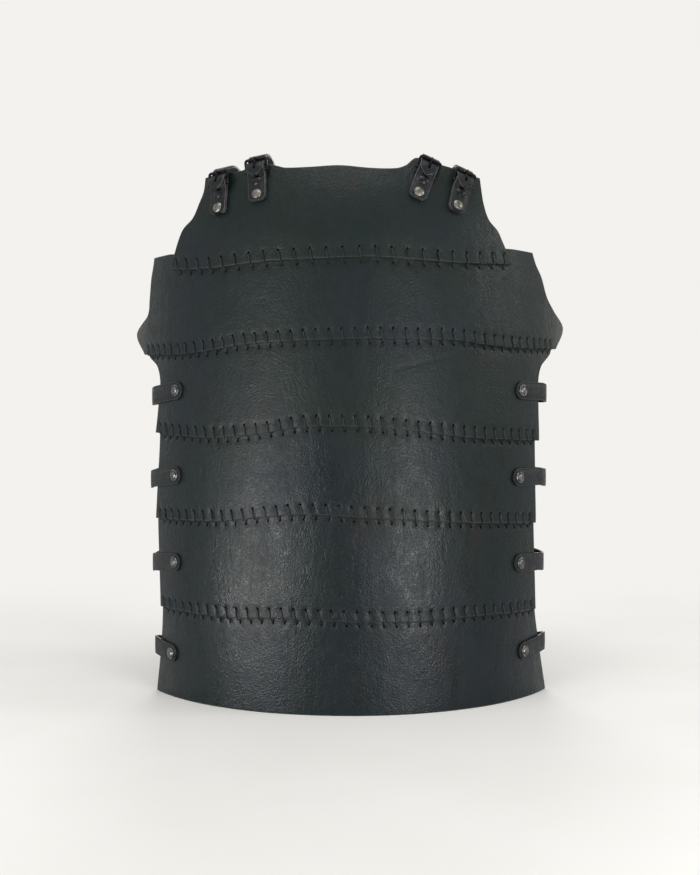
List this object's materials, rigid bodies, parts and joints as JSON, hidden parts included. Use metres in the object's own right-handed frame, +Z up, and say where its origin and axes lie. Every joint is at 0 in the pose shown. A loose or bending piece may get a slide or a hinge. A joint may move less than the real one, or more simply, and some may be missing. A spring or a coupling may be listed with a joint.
{
  "type": "leather cuirass",
  "caption": "Laced leather torso armour: chest plate and back yoke over lapped bands, joined by shoulder and side straps with hinged buckles.",
  "frame": {"origin": "centre of the footprint, on the plane that the hem stands on", "axes": "+Z up along the torso, the front of the cuirass faces -Y, +X to the right as the front is seen"},
  "size_m": [0.4537, 0.2794, 0.5494],
  "materials": {
    "body_leather": "near-black waxed leather, satin, mottled grain",
    "strap_leather": "black strap leather, satin, burnished edges",
    "lace_leather": "black thong lace, matt",
    "frame_metal": "black lacquered wire frame",
    "rivet_metal": "polished gunmetal nickel"
  },
  "bodies": {
    "cuirass": {"chest_plate": "body_leather", "front_band_1": "body_leather", "front_band_2": "body_leather", "front_band_3": "body_leather", "front_band_4": "body_leather", "front_band_5": "body_leather", "back_yoke": "body_leather", "back_band_1": "body_leather", "back_band_2": "body_leather", "back_band_3": "body_leather", "back_band_4": "body_leather", "back_band_5": "body_leather", "front_lace_1": "lace_leather", "front_lace_2": "lace_leather", "front_lace_3": "lace_leather", "front_lace_4": "lace_leather", "front_lace_5": "lace_leather", "back_lace_1": "lace_leather", "back_lace_2": "lace_leather", "back_lace_3": "lace_leather", "back_lace_4": "lace_leather", "back_lace_5": "lace_leather", "shoulder_outer_left_strap": "strap_leather", "shoulder_inner_left_strap": "strap_leather", "shoulder_inner_right_strap": "strap_leather", "shoulder_outer_right_strap": "strap_leather", "side_left_2_strap": "strap_leather", "side_right_2_strap": "strap_leather", "side_left_3_strap": "strap_leather", "side_right_3_strap": "strap_leather", "side_left_4_strap": "strap_leather", "side_right_4_strap": "strap_leather", "side_left_5_strap": "strap_leather", "side_right_5_strap": "strap_leather", "buckle_tabs": "strap_leather", "rivets": "rivet_metal"},
    "shoulder_outer_left_frame": {"shoulder_outer_left_frame": "frame_metal"},
    "shoulder_outer_left_prong": {"shoulder_outer_left_prong": "rivet_metal"},
    "shoulder_inner_left_frame": {"shoulder_inner_left_frame": "frame_metal"},
    "shoulder_inner_left_prong": {"shoulder_inner_left_prong": "rivet_metal"},
    "shoulder_inner_right_frame": {"shoulder_inner_right_frame": "frame_metal"},
    "shoulder_inner_right_prong": {"shoulder_inner_right_prong": "rivet_metal"},
    "shoulder_outer_right_frame": {"shoulder_outer_right_frame": "frame_metal"},
    "shoulder_outer_right_prong": {"shoulder_outer_right_prong": "rivet_metal"},
    "side_left_2_frame": {"side_left_2_frame": "frame_metal"},
    "side_left_2_prong": {"side_left_2_prong": "rivet_metal"},
    "side_right_2_frame": {"side_right_2_frame": "frame_metal"},
    "side_right_2_prong": {"side_right_2_prong": "rivet_metal"},
    "side_left_3_frame": {"side_left_3_frame": "frame_metal"},
    "side_left_3_prong": {"side_left_3_prong": "rivet_metal"},
    "side_right_3_frame": {"side_right_3_frame": "frame_metal"},
    "side_right_3_prong": {"side_right_3_prong": "rivet_metal"},
    "side_left_4_frame": {"side_left_4_frame": "frame_metal"},
    "side_left_4_prong": {"side_left_4_prong": "rivet_metal"},
    "side_right_4_frame": {"side_right_4_frame": "frame_metal"},
    "side_right_4_prong": {"side_right_4_prong": "rivet_metal"},
    "side_left_5_frame": {"side_left_5_frame": "frame_metal"},
    "side_left_5_prong": {"side_left_5_prong": "rivet_metal"},
    "side_right_5_frame": {"side_right_5_frame": "frame_metal"},
    "side_right_5_prong": {"side_right_5_prong": "rivet_metal"}
  },
  "joints": [
    {"name": "shoulder_outer_left_frame_swing", "type": "hinge", "parent": "cuirass", "child": "shoulder_outer_left_frame", "pos_m": [-0.12679, -0.09532, 0.50974], "axis": [0.8605, -0.4992, 0.1018], "range_deg": [0, 12]},
    {"name": "shoulder_outer_left_prong_swing", "type": "hinge", "parent": "shoulder_outer_left_frame", "child": "shoulder_outer_left_prong", "pos_m": [-0.12679, -0.09532, 0.50974], "axis": [0.8605, -0.4992, 0.1018], "range_deg": [0, 22]},
    {"name": "shoulder_inner_left_frame_swing", "type": "hinge", "parent": "cuirass", "child": "shoulder_inner_left_frame", "pos_m": [-0.08931, -0.11055, 0.51911], "axis": [0.9349, -0.3288, 0.1336], "range_deg": [0, 12]},
    {"name": "shoulder_inner_left_prong_swing", "type": "hinge", "parent": "shoulder_inner_left_frame", "child": "shoulder_inner_left_prong", "pos_m": [-0.08931, -0.11055, 0.51911], "axis": [0.9349, -0.3288, 0.1336], "range_deg": [0, 22]},
    {"name": "shoulder_inner_right_frame_swing", "type": "hinge", "parent": "cuirass", "child": "shoulder_inner_right_frame", "pos_m": [0.07322, -0.11696, 0.51778], "axis": [0.9088, 0.1468, -0.3906], "range_deg": [0, 12]},
    {"name": "shoulder_inner_right_prong_swing", "type": "hinge", "parent": "shoulder_inner_right_frame", "child": "shoulder_inner_right_prong", "pos_m": [0.07322, -0.11696, 0.51778], "axis": [0.9088, 0.1468, -0.3906], "range_deg": [0, 22]},
    {"name": "shoulder_outer_right_frame_swing", "type": "hinge", "parent": "cuirass", "child": "shoulder_outer_right_frame", "pos_m": [0.10835, -0.10624, 0.50828], "axis": [0.8823, 0.3325, -0.3331], "range_deg": [0, 12]},
    {"name": "shoulder_outer_right_prong_swing", "type": "hinge", "parent": "shoulder_outer_right_frame", "child": "shoulder_outer_right_prong", "pos_m": [0.10835, -0.10624, 0.50828], "axis": [0.8823, 0.3325, -0.3331], "range_deg": [0, 22]},
    {"name": "side_left_2_frame_swing", "type": "hinge", "parent": "cuirass", "child": "side_left_2_frame", "pos_m": [-0.18131, 0.05361, 0.311], "axis": [0, 0, -1], "range_deg": [0, 12]},
    {"name": "side_left_2_prong_swing", "type": "hinge", "parent": "side_left_2_frame", "child": "side_left_2_prong", "pos_m": [-0.18131, 0.05361, 0.311], "axis": [0, 0, -1], "range_deg": [0, 22]},
    {"name": "side_right_2_frame_swing", "type": "hinge", "parent": "cuirass", "child": "side_right_2_frame", "pos_m": [0.18131, 0.05361, 0.311], "axis": [0, 0, 1], "range_deg": [0, 12]},
    {"name": "side_right_2_prong_swing", "type": "hinge", "parent": "side_right_2_frame", "child": "side_right_2_prong", "pos_m": [0.18131, 0.05361, 0.311], "axis": [0, 0, 1], "range_deg": [0, 22]},
    {"name": "side_left_3_frame_swing", "type": "hinge", "parent": "cuirass", "child": "side_left_3_frame", "pos_m": [-0.18166, 0.04809, 0.226], "axis": [0, 0, -1], "range_deg": [0, 12]},
    {"name": "side_left_3_prong_swing", "type": "hinge", "parent": "side_left_3_frame", "child": "side_left_3_prong", "pos_m": [-0.18166, 0.04809, 0.226], "axis": [0, 0, -1], "range_deg": [0, 22]},
    {"name": "side_right_3_frame_swing", "type": "hinge", "parent": "cuirass", "child": "side_right_3_frame", "pos_m": [0.18168, 0.0481, 0.22432], "axis": [0, 0, 1], "range_deg": [0, 12]},
    {"name": "side_right_3_prong_swing", "type": "hinge", "parent": "side_right_3_frame", "child": "side_right_3_prong", "pos_m": [0.18168, 0.0481, 0.22432], "axis": [0, 0, 1], "range_deg": [0, 22]},
    {"name": "side_left_4_frame_swing", "type": "hinge", "parent": "cuirass", "child": "side_left_4_frame", "pos_m": [-0.18203, 0.04248, 0.13794], "axis": [0, 0, -1], "range_deg": [0, 12]},
    {"name": "side_left_4_prong_swing", "type": "hinge", "parent": "side_left_4_frame", "child": "side_left_4_prong", "pos_m": [-0.18203, 0.04248, 0.13794], "axis": [0, 0, -1], "range_deg": [0, 22]},
    {"name": "side_right_4_frame_swing", "type": "hinge", "parent": "cuirass", "child": "side_right_4_frame", "pos_m": [0.18203, 0.04248, 0.13794], "axis": [0, 0, 1], "range_deg": [0, 12]},
    {"name": "side_right_4_prong_swing", "type": "hinge", "parent": "side_right_4_frame", "child": "side_right_4_prong", "pos_m": [0.18203, 0.04248, 0.13794], "axis": [0, 0, 1], "range_deg": [0, 22]},
    {"name": "side_left_5_frame_swing", "type": "hinge", "parent": "cuirass", "child": "side_left_5_frame", "pos_m": [-0.18244, 0.03679, 0.0441], "axis": [0, 0, -1], "range_deg": [0, 12]},
    {"name": "side_left_5_prong_swing", "type": "hinge", "parent": "side_left_5_frame", "child": "side_left_5_prong", "pos_m": [-0.18244, 0.03679, 0.0441], "axis": [0, 0, -1], "range_deg": [0, 22]},
    {"name": "side_right_5_frame_swing", "type": "hinge", "parent": "cuirass", "child": "side_right_5_frame", "pos_m": [0.18241, 0.03676, 0.0477], "axis": [0, 0, 1], "range_deg": [0, 12]},
    {"name": "side_right_5_prong_swing", "type": "hinge", "parent": "side_right_5_frame", "child": "side_right_5_prong", "pos_m": [0.18241, 0.03676, 0.0477], "axis": [0, 0, 1], "range_deg": [0, 22]}
  ]
}
